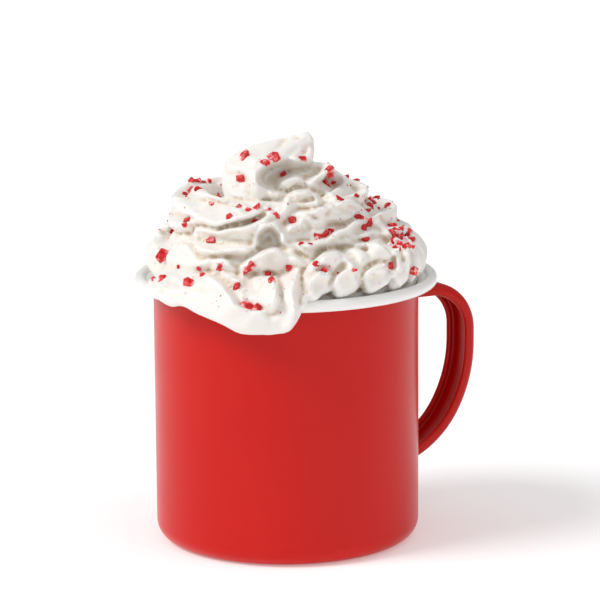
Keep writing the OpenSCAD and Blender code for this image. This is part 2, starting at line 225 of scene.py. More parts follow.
# Folds seen from the front. Rows are [right, up, height]: millimetres on an upright sheet that
# stands just in front of the mug's axis, square to the camera, from the point it looks at, and
# the height of the crest above the pile. Each fold ends with how wide its flanks are on the
# left and on the right of the way its rows run.
FOLDS = [
    # rim of the open loop at the top
    ([(14, 45.3, 2), (9, 45.6, 4), (4, 45.8, 5), (-1, 46, 5), (-5.5, 44.8, 6), (-8.6, 42, 6), (-9, 39, 6),
      (-7.5, 36.6, 6), (-4, 34.6, 5), (0, 32.8, 3)], 1.8, 4),
    # curl inside it, running up into a ridge on the right
    ([(-2.5, 36.5, 2), (-1.5, 38.6, 3.5), (1.5, 39.5, 4), (4.5, 38.8, 4), (6.5, 37.2, 4), (9, 38.5, 5),
      (12, 41, 5.5), (14.5, 44, 4.5)], 1.4, 4.6),
    # arch under the loop
    ([(-3, 30.5, 3), (0.5, 32, 4.5), (4, 34.2, 5.5), (7, 35.2, 6), (9.5, 34, 5.5), (11, 31, 4.5),
      (12.5, 28.5, 2)], 1.4, 3.8),
    ([(10, 35, 3), (14, 34.6, 4), (17, 33, 4), (20, 31.2, 3), (22, 30, 2)], 3, 2),
    # flanks of the top
    ([(-20, 38, 1), (-16, 34.5, 3), (-10, 33, 3), (-5, 32, 2)], 5, 1.4),
    ([(15, 40, 1), (20, 40, 3), (24, 38.5, 3), (27, 35, 3), (29, 31, 3), (31, 27, 1)], 3, 3),
    # bands of the second tier on the right
    ([(3, 27.5, 2), (7, 28, 4), (12, 29.5, 5), (17, 31, 5), (21, 31, 5), (25, 28.5, 4), (27, 26, 2)], 1.6,
      4),
    ([(2, 17, 3), (8, 18, 5), (14, 19.5, 5.5), (19, 21.5, 5.5), (23, 24.5, 5), (26, 26, 3)], 2, 2.2),
    # curl in the middle
    ([(-9.5, 19, 4), (-9.3, 22, 5), (-7, 24, 6), (-4.5, 23.8, 6), (-2.5, 22, 6), (-1, 19.5, 5),
      (1.5, 17, 5), (5, 15.5, 4), (9, 14.5, 2)], 2.6, 1.6),
    # bands of the second tier on the left
    ([(-5, 30, 3), (-6, 27.5, 5), (-8, 26, 5.5), (-11, 24, 6), (-15, 22.7, 6), (-22, 22.2, 5),
      (-29, 22.3, 3)], 4, 1.4),
    ([(-3, 32, 2), (-7, 30.3, 3.5), (-12, 28, 4.5), (-17, 26.3, 5), (-23, 25.2, 5), (-29, 25.5, 3)], 1.4,
      4.5),
    ([(-29, 19, 3), (-27, 17, 4.5), (-20, 16.3, 5), (-14, 15.8, 5), (-10, 17, 3)], 3.5, 1.4),
    ([(-33, 35.5, 2), (-38, 35, 3), (-40.5, 32, 3), (-40, 28.5, 4), (-37, 26, 4), (-31, 25.5, 3)], 2.4, 3),
    ([(-29, 36, 2), (-24, 35.5, 3), (-19, 34, 3), (-13, 31.5, 2)], 3, 3),
    ([(-40, 28, 2), (-42, 24, 3), (-40, 21, 3), (-35, 20.5, 3), (-30, 20, 2)], 2, 3),
    # the leaf at the lower left, its turned edge, and the folds that run down into the drape
    ([(-46, 15, 1), (-44, 18.5, 2), (-39, 20, 3), (-33, 17.5, 3.5), (-27, 16.5, 3.5), (-23, 15, 3),
      (-19, 12, 3), (-17, 9, 1)], 1.4, 6),
    ([(-27.5, 9, 1.5), (-25, 8, 3), (-20.8, 4.4, 4), (-17.5, -0.6, 4), (-13.4, -4, 3.5), (-9.5, -5, 3),
      (-5, -5, 1)], 1.6, 3.5),
    ([(-14, 9, 2), (-12.5, 12, 4), (-9, 14, 4.5), (-4, 15.5, 5), (1, 15, 5), (5, 12.5, 4), (9, 12, 2)],
      1.4, 3.2),
    ([(-8.5, 7.5, 1.5), (-5.5, 7, 4), (-3.8, 3.5, 4.5), (-3.8, 0.5, 4), (-6, -2.8, 2)], 1.2, 3.6),
    ([(5, 11, 2), (3.2, 7, 4), (2.8, 2, 4), (3, -3, 4), (2.5, -8, 2)], 1.2, 3),
    # lowest tier on the right, above the shells
    ([(8, 9, 2), (10, 11.5, 3), (13.5, 13.8, 4), (17.5, 14, 4), (20.5, 12, 3.5), (21.5, 9.5, 2)], 1.5, 3),
    ([(20, 18.5, 2), (25, 17.5, 3), (30, 18, 4), (34, 17, 4.5), (36.5, 14, 4), (36.3, 11, 2)], 2, 3),
    ([(36, 17, 2), (40, 16, 3), (42.5, 12.5, 3.5), (42.5, 9, 3), (41, 6, 1)], 2, 3),
    ([(30, 25, 2), (34, 22, 3), (37, 19, 2)], 2, 2.5),
    # lesser edges between them
    ([(2, 46.5, 1), (4.5, 49, 2), (6.5, 51.5, 1.5), (8, 53, 1)], 2, 1.2),
    ([(-3, 47, 1), (0, 49.5, 2), (3, 52, 1)], 1.2, 2),
    ([(-18, 44, 1), (-13, 42, 2), (-10.5, 38, 2), (-9.5, 34, 1)], 2.5, 1.2),
    ([(-16, 30, 1), (-18, 33.5, 2), (-23, 34, 2), (-27, 31.5, 1)], 1.2, 2.5),
    ([(8.6, 26, 1), (8.8, 29, 2.4), (8.4, 32, 1.5)], 1.0, 2.2),
    ([(12, 34, 1), (13.5, 37, 2.4), (15.5, 39, 2.4), (18.5, 40, 1)], 1.4, 2.2),
    ([(17, 26, 1), (21, 27.5, 2.6), (25, 26, 2.6), (28, 22.5, 1)], 1.4, 2.4),
    ([(-1, 19, 1), (0.5, 23, 3), (3, 25, 3), (8, 25.6, 2)], 1.4, 2.4),
    ([(22, 20.5, 1), (26, 22, 2.6), (30, 21, 2.6), (33, 18.5, 1)], 1.4, 2.2),
    ([(-9, 19.5, 1), (-13, 19.8, 2), (-19, 19, 2), (-25, 19.5, 1)], 1.6, 1.4),
    ([(-34, 20, 1), (-38, 23, 2.4), (-35, 25.5, 2), (-31, 24, 1)], 1.4, 1.6),
    ([(-22, 12, 1), (-20, 8.5, 2.4), (-16, 6.5, 2.4), (-13.5, 8, 1)], 1.6, 1.4),
    ([(-44, 3, 0.8), (-40, 7, 1.8), (-36, 8, 1.4), (-33, 6, 0.8)], 2, 2),
    ([(8.5, 1, 1), (8, 5, 3), (10.5, 8, 3), (14, 8.4, 2)], 1.3, 2),
    ([(17.5, 2, 1), (16.8, 6, 3), (18.6, 9.2, 3), (22, 9.6, 2)], 1.3, 2),
    ([(27, 3.5, 1), (26.4, 7, 3), (28.4, 10.2, 3), (32, 10.4, 2)], 1.3, 2),
    ([(36.6, 6, 1), (36, 9, 2.4), (38, 12, 2.4), (41.5, 12, 1)], 1.3, 2),
]

# Hollows between them, laid out the same way: [right, up, depth] and how wide they are
HOLLOWS = [
    ([(-5.5, 38.5, 3), (-1, 42, 4), (6, 43, 3.5), (11, 44, 2)], 2.6),
    ([(-24, 23.6, 2), (-19, 24, 3), (-14, 24.6, 2)], 1.6),
    ([(-19, 14.3, 2), (-14, 14, 3), (-10, 13.5, 2)], 1.6),
    ([(-7.5, 18, 2), (-6, 20, 3), (-5, 18.5, 2)], 1.8),
    ([(15, 24, 2), (18, 24, 3), (20, 25, 2)], 1.6),
    ([(12, 15.5, 2), (16, 16, 3), (20, 17.5, 2)], 1.8),
    ([(-34, 1, 1), (-29, 1.8, 2.5), (-24.5, -0.5, 1)], 3),
    ([(-12.5, 7, 1), (-12, 2.5, 2.5), (-11, -2, 1.5)], 2.4),
    ([(-1.8, 9, 0.5), (-1.6, 3, 1), (-1.2, -3, 0.5)], 1.6),
]

SHEET = 13.4        # how far in front of the axis that sheet stands


def on_sheet(points):
    """Where points in the serving frame, in millimetres, show on the sheet the folds are laid on."""
    ahead = np.array([0, -math.cos(VIEW_UP), math.sin(VIEW_UP)])
    above = np.array([0, math.sin(VIEW_UP), math.cos(VIEW_UP)])
    rel = points - np.array([0, 0, VIEW_HEIGHT / MM])
    scale = (VIEW_DISTANCE / MM - SHEET) / (VIEW_DISTANCE / MM - rel.dot(ahead))
    return np.stack([rel[:, 0] * scale, rel.dot(above) * scale], axis=1)


def from_crest(spots, rows):
    """Distance of each spot from a crest line, its side (+1 is left) and the height there."""
    line = catmull(rows, 6)
    best = np.full(len(spots), 1e9)
    side = np.ones(len(spots))
    height = np.zeros(len(spots))
    for i in range(len(line) - 1):
        a, b = line[i], line[i + 1]
        step = b[:2] - a[:2]
        rel = spots - a[:2]
        t = np.clip(rel.dot(step) / step.dot(step), 0, 1)
        gap = rel - t[:, None] * step
        d = np.hypot(gap[:, 0], gap[:, 1])
        near = d < best
        best[near] = d[near]
        side[near] = np.sign(step[0] * rel[near, 1] - step[1] * rel[near, 0])
        height[near] = (a[2] + (b[2] - a[2]) * t)[near]
    return best, side, height


FOLD_GAIN = 1.6         # a fold's own height is multiplied by this
GAP_GAIN = 0.75         # depth of the gap beside a fold, as a share of its height
GAP_AT = 2.0            # how far from the crest that gap lies, and how wide it is
GAP_WIDE = 1.0
HOLLOW_GAIN = 1.3
DRIFT = 1.5             # how far the folds wander from the lines laid down
DRIFT_SCALE = 0.16


def relief(spots):
    """Height of the folds and hollows over the smooth pile.

    The narrower flank of a fold drops into a gap, where one ribbon of cream overlaps the next."""
    drift = np.array([[noise.noise(Vector((x * DRIFT_SCALE, y * DRIFT_SCALE, layer)))
                       for layer in (3.0, 8.0)] for x, y in spots])
    spots = spots + drift * DRIFT
    top = np.zeros(len(spots))
    gap = np.zeros(len(spots))
    for rows, left, right in FOLDS:
        d, side, height = from_crest(spots, rows)
        soft = np.hypot(d, 0.45) - 0.45
        top = np.maximum(top, FOLD_GAIN * height * np.exp(-soft / np.where(side > 0, left, right)))
        narrow = (side > 0) == (left < right)
        gap = np.maximum(gap, narrow * GAP_GAIN * height * np.exp(-((d - GAP_AT) / GAP_WIDE) ** 2))
    for rows, wide in HOLLOWS:
        d, side, height = from_crest(spots, rows)
        gap = np.maximum(gap, HOLLOW_GAIN * height * np.exp(-(d / wide) ** 2))
    return top - gap


# Shells along the right of the rim: [angle round the mug, how far the tip runs past the usual place]
SHELLS = [(-76, 1.5), (-64, 0), (-50, 0), (-37, 0), (-24, -1), (-10, -2.2), (8, -2.2), (27, -1)]


def shell(stock, angle, over, seed):
    """A short curl squeezed out towards the rim; over is how far its tip runs past the usual place."""
    back = min(over, 0)
    rows = [polar(angle + 11, 36, 99.5, 4), polar(angle + 6, 41 + back, 98.8, 5.4),
            polar(angle + 1, 43.6 + back, 96, 5.8), polar(angle - 3, 45 + back, 93.2, 4.8),
            polar(angle - 5, 46 + over, 91.4 - max(over, 0) * 0.4, 3.2),
            polar(angle - 6.5, 46.8 + over, 90 - max(over, 0) * 0.4, 1)]
    rope(stock, rows, ridges=3, groove=0.16, twist=-4, phase=seed * 50, seed=seed, wobble=0.1,
         up=(0.2, 0.1, 1))


# Height of the drape's lower edge, by angle round the mug
DRAPE_TOP = 90.4        # at this height the edge still lies on the lip
DRAPE_EDGE = [(-152, DRAPE_TOP), (-146, 88.6), (-140, 86.6), (-135, 85.6), (-129, 86.4), (-123, 84.6),
              (-114, 82.2), (-106, 79.3), (-98, 79.2), (-90, 80.0), (-87, 82.4), (-84.5, 86.5),
              (-82, DRAPE_TOP)]


def drape(stock):
    """The sheet of cream that has run over the lip and hangs outside it."""
    rows = catmull(DRAPE_EDGE, 5)
    rings = []
    for angle, low in rows:
        a = math.radians(angle)
        hang = min(1.0, max(0.0, (DRAPE_TOP - low) / 3))
        wave = noise.noise(Vector((angle * 0.09, 4.0, 0)))
        thick = (3.2 + 0.8 * wave) * hang
        lip = LIP_R + 0.15
        inside = [(38, 88.5), (46.5, 89.9), (lip - 1, 90.2), (lip, 88.6), (lip, low + 1.4)]
        edge = [(lip + 0.3, low + 0.3), (lip + 0.45 * thick, low), (lip + 0.85 * thick, low + 0.9)]
        outside = [(lip + thick, low + 2.6), (lip + thick, min(88.5, low + 6)),
                   (lip + 0.75 * thick - 0.4, 91), (lip - 2.2 + 0.3 * thick, 93.4), (45, 95.6), (38, 97.5)]
        outline = inside + edge + outside
        rings.append([[r * math.cos(a), r * math.sin(a), z] for r, z in outline])
    stock.add(np.array(rings))


def core(stock):
    """The body of the pile inside the ropes, and the plug down to the drink."""
    plug_r = BODY_R - WALL - 0.15
    plug_z = DRINK_Z + 0.05
    outline = [(0.5, plug_z), (plug_r, plug_z), (plug_r, 84.5), (43.5, 87.3), (44, 90), (41, 96), (36, 102),
               (32, 108), (26, 112), (18, 115), (11, 120), (5, 126), (0.5, 128)]
    angles = np.arange(120) / 120 * TAU
    rings = [[[r * math.cos(a), r * math.sin(a), z] for a in angles] for r, z in outline]
    stock.add(np.array(rings))


def merge(obj, voxel, passes):
    """Melts the overlapping tubes of cream into one skin and relaxes it."""
    remesh = obj.modifiers.new("merge", "REMESH")
    remesh.mode = "VOXEL"
    remesh.voxel_size = voxel * MM
    remesh.use_smooth_shade = True
    relax = obj.modifiers.new("relax", "SMOOTH")
    relax.factor = 0.5
    relax.iterations = passes
    apply_modifiers(obj)


def sharpen(obj, amount, passes):
    """Pushes every point away from its relaxed place, so that crests and creases stand out."""
    count = len(obj.data.vertices)
    before = np.empty(count * 3)
    obj.data.vertices.foreach_get("co", before)
    relax = obj.modifiers.new("relax", "SMOOTH")
    relax.factor = 0.5
    relax.iterations = passes
    apply_modifiers(obj)
    after = np.empty(count * 3)
    obj.data.vertices.foreach_get("co", after)
    obj.data.vertices.foreach_set("co", before + np.clip((before - after) * amount, -MM, MM))
    obj.data.update()


def drop_specks(obj):
    """Keeps the one big skin, and removes the tiny loose islands that a remesh can leave."""
    bm = bmesh.new()
    bm.from_mesh(obj.data)
    left = set(bm.verts)
    islands = []
    while left:
        island = [left.pop()]
        for vert in island:
            for edge in vert.link_edges:
                other = edge.other_vert(vert)
                if other in left:
                    left.remove(other)
                    island.append(other)
        islands.append(island)
    islands.sort(key=len)
    for island in islands[:-1]:
        bmesh.ops.delete(bm, geom=island, context="VERTS")
    bm.to_mesh(obj.data)
    bm.free()


SINK = 1.8              # how far the pile is drawn back before the folds rise from it
DRAPE_GAIN = 0.7        # the drape is thin, so its folds are lower
DRAPE_DEEPEST = -0.9    # and its hollows are shallow
CLEAR_Z = 89.5          # cream moves only where it is above this height or beyond this reach,
CLEAR_R = 50.6          # so what lies in the mug and against the lip stays put


def raise_folds(obj):
    """Raises the front folds towards the camera, where the pile faces it."""
    count = len(obj.data.vertices)
    points = np.empty(count * 3)
    normals = np.empty(count * 3)
    obj.data.vertices.foreach_get("co", points)
    obj.data.vertices.foreach_get("normal", normals)
    points = points.reshape(-1, 3) / MM
    normals = normals.reshape(-1, 3)
    ahead = np.array([0, -math.cos(VIEW_UP), math.sin(VIEW_UP)])
    share = np.clip((normals.dot(ahead) + 0.1) / 0.4, 0, 1)
    outside = np.maximum(points[:, 2] - CLEAR_Z, np.hypot(points[:, 0], points[:, 1]) - CLEAR_R)
    share *= np.clip(outside / 0.8, 0, 1)
    moving = share > 0
    rise = relief(on_sheet(points[moving]))
    reach = np.hypot(points[moving, 0], points[moving, 1])
    draped = np.clip((reach - 44) / 3, 0, 1) * np.clip((98 - points[moving, 2]) / 6, 0, 1)
    rise = draped * np.maximum(rise * DRAPE_GAIN, DRAPE_DEEPEST) + (1 - draped) * (rise - SINK)
    rise = rise * share[moving]
    points[moving] += rise[:, None] * ahead
    obj.data.vertices.foreach_set("co", (points * MM).reshape(-1))
    obj.data.update()


PILE_VOXEL = 0.5
SKIN_VOXEL = 0.64


def make_cream():
    """The whole of the whipped cream, as one skin."""
    stock = CreamStock()
    core(stock)
    rope(stock, COIL, ridges=6, twist=-1.6, phase=0, seed=1, steps=8)
    rope(stock, CROWN, ridges=5, twist=-1.0, phase=40, seed=2, steps=8)
    rope(stock, TIP, ridges=5, twist=4, phase=10, seed=3, up=(1, 0, 0))
    rope(stock, SHOULDER, ridges=5, twist=3, phase=10, seed=4)
    drape(stock)
    for i, (angle, over) in enumerate(SHELLS):
        shell(stock, angle, over, seed=10 + i)
    obj = new_object("cream", stock.verts, stock.faces)
    merge(obj, PILE_VOXEL, 6)
    raise_folds(obj)
    merge(obj, SKIN_VOXEL, 1)
    drop_specks(obj)
    sharpen(obj, 1.4, 12)
    obj.data.transform(Matrix.Rotation(FRONT_TURN, 4, "Z"))
    return obj


# ---- mug ----

def arc(cx, cz, r, start, stop, count):
    """Points [r, z] along an arc between two angles in degrees, both ends included."""
    turns = np.radians(np.linspace(start, stop, count))
    return [(cx + r * math.cos(t), cz + r * math.sin(t)) for t in turns]


def crossing(flare_radius):
    """Angles at which a round of the flare meets the rolled edge: on the flare and on the edge."""
    flare_x, edge_x = BODY_R + FLARE_R, LIP_R - BEAD_R
    rise = WALL / 2 + FLARE_R
    apart = math.hypot(edge_x - flare_x, rise)
    cosine = (flare_radius ** 2 + apart ** 2 - BEAD_R ** 2) / (2 * flare_radius * apart)
    on_flare = math.atan2(rise, edge_x - flare_x) + math.acos(cosine)
    x = flare_x + flare_radius * math.cos(on_flare) - edge_x
    z = flare_radius * math.sin(on_flare) - rise
    return math.degrees(on_flare), math.degrees(math.atan2(z, x)) % 360


def lathe(name, outline, segments=240, closed=False):
    """Turns an outline of [r, z] points about the axis; a closed one is a ring."""
    verts = []
    faces = []
    count = len(outline)
    for i in range(segments):
        a = TAU * i / segments
        verts.extend((r * math.cos(a), r * math.sin(a), z) for r, z in outline)
    last = count if closed else count - 1
    for i in range(segments):
        j = (i + 1) % segments
        for k in range(last):
            m = (k + 1) % count
            faces.append((i * count + k, j * count + k, j * count + m, i * count + m))
    return new_object(name, verts, faces)


def make_mug():
    """The enamelled steel bowl as two skins that meet under the rolled edge: red, and white."""
    panel_r = BODY_R - CORNER_R - FOOT_W - BASE_RISE
    edge_z = RIM_Z - BEAD_R
    flare_z = edge_z - WALL / 2 - FLARE_R
    flare_x = BODY_R + FLARE_R
    edge_x = LIP_R - BEAD_R
    out_flare, out_edge = crossing(FLARE_R)
    in_flare, in_edge = crossing(FLARE_R + WALL)
    red_end = 252       # where the red stops under the rolled edge, in degrees round it
    red = [(0.01, BASE_RISE), (panel_r * 0.5, BASE_RISE), (panel_r - 0.6, BASE_RISE)]
    red += arc(panel_r - 0.2, BASE_RISE - 0.5, 0.5, 80, 45, 4)
    red += arc(panel_r + BASE_RISE + 0.4, 0.6, 0.6, 225, 270, 4)
    red += [(panel_r + BASE_RISE + 2, 0), (BODY_R - CORNER_R - 0.8, 0)]
    red += arc(BODY_R - CORNER_R, CORNER_R, CORNER_R, -88, 0, 16)
    red += [(BODY_R, z) for z in np.linspace(CORNER_R + 2, flare_z - 2, 22)]
    red += arc(flare_x, flare_z, FLARE_R, 180, out_flare, 12)
    red += arc(edge_x, edge_z, BEAD_R, out_edge + 3, red_end, 7)
    white = arc(edge_x, edge_z, BEAD_R + 0.03, red_end - 4, 360 + in_edge - 3, 34)
    white += arc(flare_x, flare_z, FLARE_R + WALL, in_flare, 180, 12)
    white += [(BODY_R - WALL, z) for z in np.linspace(flare_z - 2, CORNER_R + 2, 22)]
    white += arc(BODY_R - CORNER_R, CORNER_R, CORNER_R - WALL, 0, -88, 14)
    white += [(panel_r + BASE_RISE + 1, WALL), (panel_r + BASE_RISE, WALL + 0.1)]
    white += [(r, WALL + BASE_RISE) for r in (panel_r, panel_r * 0.5, 0.01)]
    return lathe("mug_outside", red), lathe("mug_lining", white)


# ---- handle ----

STRIP_W = 14.0
STRIP_DEPTH = 4.2       # how deep its sides are
STRIP_T = 1.3
EDGE_R = 1.0            # the rolled edges of its sides
BEND_R = 2.4            # the round between its face and its sides
TOP_BEND_R = 17.0
GRIP_L = 5.2            # the straight stretch under the top bend
SWEEP_R = 46.0          # the long bend below that, and its turn in degrees
SWEEP = 30
LANDING = 3.4           # how far from the body the strip starts its last run, and its slope
LANDING_TURN = 65
TAB_L = 9.0
SUNK = 0.8              # how far the strip's ends reach into the body's wall


def round_point(centre, r, degrees):
    """The point of a circle at an angle."""
    a = math.radians(degrees)
    return centre[0] + r * math.cos(a), centre[1] + r * math.sin(a)


def strip_section():
    """Section of the pressed strip: x is outwards from its outer face, y across it."""
    half = STRIP_W / 2
    edge = (-STRIP_DEPTH + EDGE_R, half - EDGE_R)
    corner = (-BEND_R, half - BEND_R)
    outside = [round_point(edge, EDGE_R, t) for t in range(255, 89, -15)]
    outside += [round_point(corner, BEND_R, 90 - t) for t in range(0, 91, 10)]
    outside += [(0.0, half - BEND_R - 1.5), (0.0, 1.5)]
    inside = [round_point(edge, EDGE_R, t) for t in range(270, 346, 15)]
    inside += [round_point(corner, BEND_R - STRIP_T, 90 - t) for t in range(20, 91, 14)]
    inside += [(-STRIP_T, half - BEND_R - 1.5), (-STRIP_T, 1.5)]
    loop = outside + [(x, -y) for x, y in reversed(outside)]
    back = inside + [(x, -y) for x, y in reversed(inside)]
    return loop + back[::-1]


def bend(cx, cz, r, start, stop, count):
    """Stations [x, z, outward angle] round an arc."""
    angles = np.linspace(start, stop, count)
    return [(x, z, a) for (x, z), a in zip(arc(cx, cz, r, start, stop, count), angles)]


def handle_path():
    """Stations [x, z, outward angle] along the strip's outer face, from the top down."""
    top = HANDLE_TOP
    grip_top = top - TOP_BEND_R
    grip_low = grip_top - GRIP_L
    sweep, turn = math.radians(SWEEP), math.radians(LANDING_TURN)
    reach = HANDLE_X - BODY_R
    tuck_r = (reach - LANDING - SWEEP_R * (1 - math.cos(sweep))) / (math.cos(sweep) - math.cos(turn))
    tuck_x = HANDLE_X - SWEEP_R * (1 - math.cos(sweep))
    tuck_z = grip_low - SWEEP_R * math.sin(sweep)
    rows = [(BODY_R - SUNK, top, 90), (BODY_R + 3, top, 90)]
    rows += bend(HANDLE_X - TOP_BEND_R, grip_top, TOP_BEND_R, 90, 0, 31)
    rows += bend(HANDLE_X - SWEEP_R, grip_low, SWEEP_R, 0, -SWEEP, 16)
    middle_x = tuck_x - tuck_r * math.cos(sweep)
    middle_z = tuck_z + tuck_r * math.sin(sweep)
    rows += bend(middle_x, middle_z, tuck_r, -SWEEP - 2, -LANDING_TURN, 18)
    x, z = rows[-1][:2]
    for step in (0.5, 1.0, 1.35):
        rows.append((x - LANDING * step, z - LANDING * step / math.tan(turn), -LANDING_TURN))
    return rows, rows[-2][1]


def make_handle():
    """The handle: one pressed strip and the two tabs that weld it to the body."""
    section = strip_section()
    rows, low_z = handle_path()
    verts = []
    faces = []
    count = len(section)
    for n, (x, z, a) in enumerate(rows):
        c, t = math.cos(math.radians(a)), math.sin(math.radians(a))
        for qx, qy in section:
            px = x + qx * c
            if n > 2:
                px = max(px, math.sqrt((BODY_R - SUNK) ** 2 - qy * qy))
            verts.append((px, qy, z + qx * t))
    for i in range(len(rows) - 1):
        for k in range(count):
            m = (k + 1) % count
            faces.append((i * count + k, (i + 1) * count + k, (i + 1) * count + m, i * count + m))
    for z0, z1 in ((HANDLE_TOP - STRIP_T / 2 - TAB_L, HANDLE_TOP - STRIP_T / 2),
                   (low_z + STRIP_T / 2 - TAB_L, low_z + STRIP_T / 2)):
        add_tab(verts, faces, z0, z1)
    return new_object("handle_strip", verts, faces)


def add_tab(verts, faces, z0, z1):
    """A thin plate bent to the body, with rounded corners and a softened edge."""
    base = len(verts)
    middle, half_h, half_w = (z0 + z1) / 2, (z1 - z0) / 2, STRIP_W / 2
    sides = 48
    steps = ((0, -0.2), (0, STRIP_T - 0.5), (0.15, STRIP_T - 0.18), (0.5, STRIP_T), (4, STRIP_T))
    for shrink, lift in steps:
        for k in range(sides):
            a = TAU * k / sides
            c, t = math.cos(a), math.sin(a)
            y = (half_w - shrink) * math.copysign(abs(c) ** 0.4, c)
            z = middle + (half_h - shrink) * math.copysign(abs(t) ** 0.4, t)
            turn = y / BODY_R
            r = BODY_R + lift
            verts.append((r * math.cos(turn), r * math.sin(turn), z))
    for i in range(4):
        for k in range(sides):
            m = (k + 1) % sides
            faces.append((base + i * sides + k, base + i * sides + m, base + (i + 1) * sides + m,
                          base + (i + 1) * sides + k))
    faces.append(tuple(base + 4 * sides + k for k in range(sides)))


# ---- crushed candy ----

# Bits that show at the front: [right, up, size, stretch, lean] on the same sheet as the folds,
# with size in millimetres, and lean in degrees
BITS = [
    (-13, 47.2, 3.6, 1.0, 20), (-3.5, 46.8, 3.6, 1.3, 0), (-6.5, 45, 2.6, 1.6, 10),
    (5.8, 46.4, 2.8, 1.3, -10), (-0.5, 41.4, 2.4, 0.7, 5), (14.6, 42, 3.2, 0.6, 20),
    (-14.5, 39.8, 3.6, 1.0, -20), (-25, 39.2, 2.0, 1.2, -40), (-28.5, 36.6, 2.4, 1.4, 30),
    (-33, 34.9, 1.8, 1.4, 10), (-24.2, 31.8, 2.2, 1.0, -30), (-18.4, 27.4, 2.2, 1.0, -20),
    (-12, 29.6, 1.8, 1.0, 10), (-9.3, 30.4, 2.4, 1.5, 20), (-15, 30.6, 1.8, 0.8, 60),
    (-5.6, 29.9, 1.5, 1.2, 0), (-2.9, 27.8, 2.0, 1.5, -10), (2.8, 26.4, 3.4, 1.3, 10),
    (-9.8, 25.8, 2.0, 1.5, 40), (-31.8, 26.4, 2.8, 1.5, -10), (-33, 24.9, 1.8, 1.0, 30),
    (-38.8, 26.7, 2.2, 1.4, 10), (-37, 22.5, 3.4, 1.5, 15), (-24, 19.4, 3.2, 0.9, 0),
    (-40, 14.8, 4.2, 0.8, -25), (-44.3, 9.2, 4.2, 1.4, 15), (-40.8, 7.0, 3.0, 1.1, 30),
    (-43.2, 7.2, 1.8, 1.2, 0), (-35.3, 10.9, 1.6, 0.8, 0), (-31.6, 6.0, 3.6, 1.2, 20),
    (-28.4, 10.7, 1.6, 1.2, -30), (-27.4, 8.4, 1.9, 0.8, 0), (-21.7, 10.7, 2.8, 0.8, -20),
    (-12.2, 10.6, 3.4, 0.5, -50), (-16.2, 4.4, 3.0, 1.2, -20), (-12.6, -2, 3.6, 1.2, 0),
    (-10, -2.8, 3.2, 1.2, -10), (-6, 8.6, 2.0, 1.3, 0), (-4.6, 6.6, 2.4, 0.7, 35),
    (4.9, 18.4, 2.0, 1.0, 20), (8, 18.2, 1.5, 1.0, 0), (10.4, 20.8, 2.6, 1.3, 15),
    (13, 21.8, 2.6, 1.3, 10), (14.8, 22.4, 2.4, 1.4, 5), (17.8, 32.7, 2.6, 1.3, -30),
    (23.6, 34, 1.6, 1.2, -40), (26.4, 29.4, 3.0, 1.1, 10), (24, 26.6, 2.6, 1.6, -10),
    (27.2, 25.2, 2.8, 1.2, 30), (25.4, 23.2, 2.4, 1.2, 50), (26.2, 19.8, 2.8, 1.1, -30),
    (30, 33, 2.4, 0.8, 20), (34.8, 24, 2.8, 1.5, 15), (1, 10.6, 2.2, 0.9, 20), (10, 11.6, 2.2, 1.1, 0),
    (12.7, 9.2, 2.6, 0.8, 40), (22.4, 9.6, 1.6, 1.2, 0), (34.2, 11, 2.4, 1.0, 0),
    (42, 9.2, 3.0, 1.2, -30), (16, 38.3, 1.5, 1.2, 0), (-29.6, 41, 1.6, 1.4, 60),
    (-22, 34.8, 1.2, 1.0, 0),
]
CLUSTER = (38.3, 19.2, 4.2)         # a heap of bits on the right, with its radius


def shard(rng, size, stretch, flat=0.8):
    """Points and faces of one broken chip, as the hull of a few points in a flattened block."""
    bm = bmesh.new()
    for _ in range(15):
        spot = Vector([rng.uniform(-1, 1) for _ in range(3)])
        spot = spot.normalized() * rng.uniform(0.75, 1.0)
        bm.verts.new((spot.x * size * 0.56 * math.sqrt(stretch), spot.y * size * 0.56 / math.sqrt(stretch),
                      spot.z * size * 0.5 * flat))
    hull = bmesh.ops.convex_hull(bm, input=bm.verts)
    junk = {v for v in hull["geom_interior"] + hull["geom_unused"] if isinstance(v, bmesh.types.BMVert)}
    bmesh.ops.delete(bm, geom=list(junk), context="VERTS")
    bm.verts.index_update()
    points = [v.co.copy() for v in bm.verts]
    faces = [tuple(v.index for v in f.verts) for f in bm.faces]
    bm.free()
    return points, faces


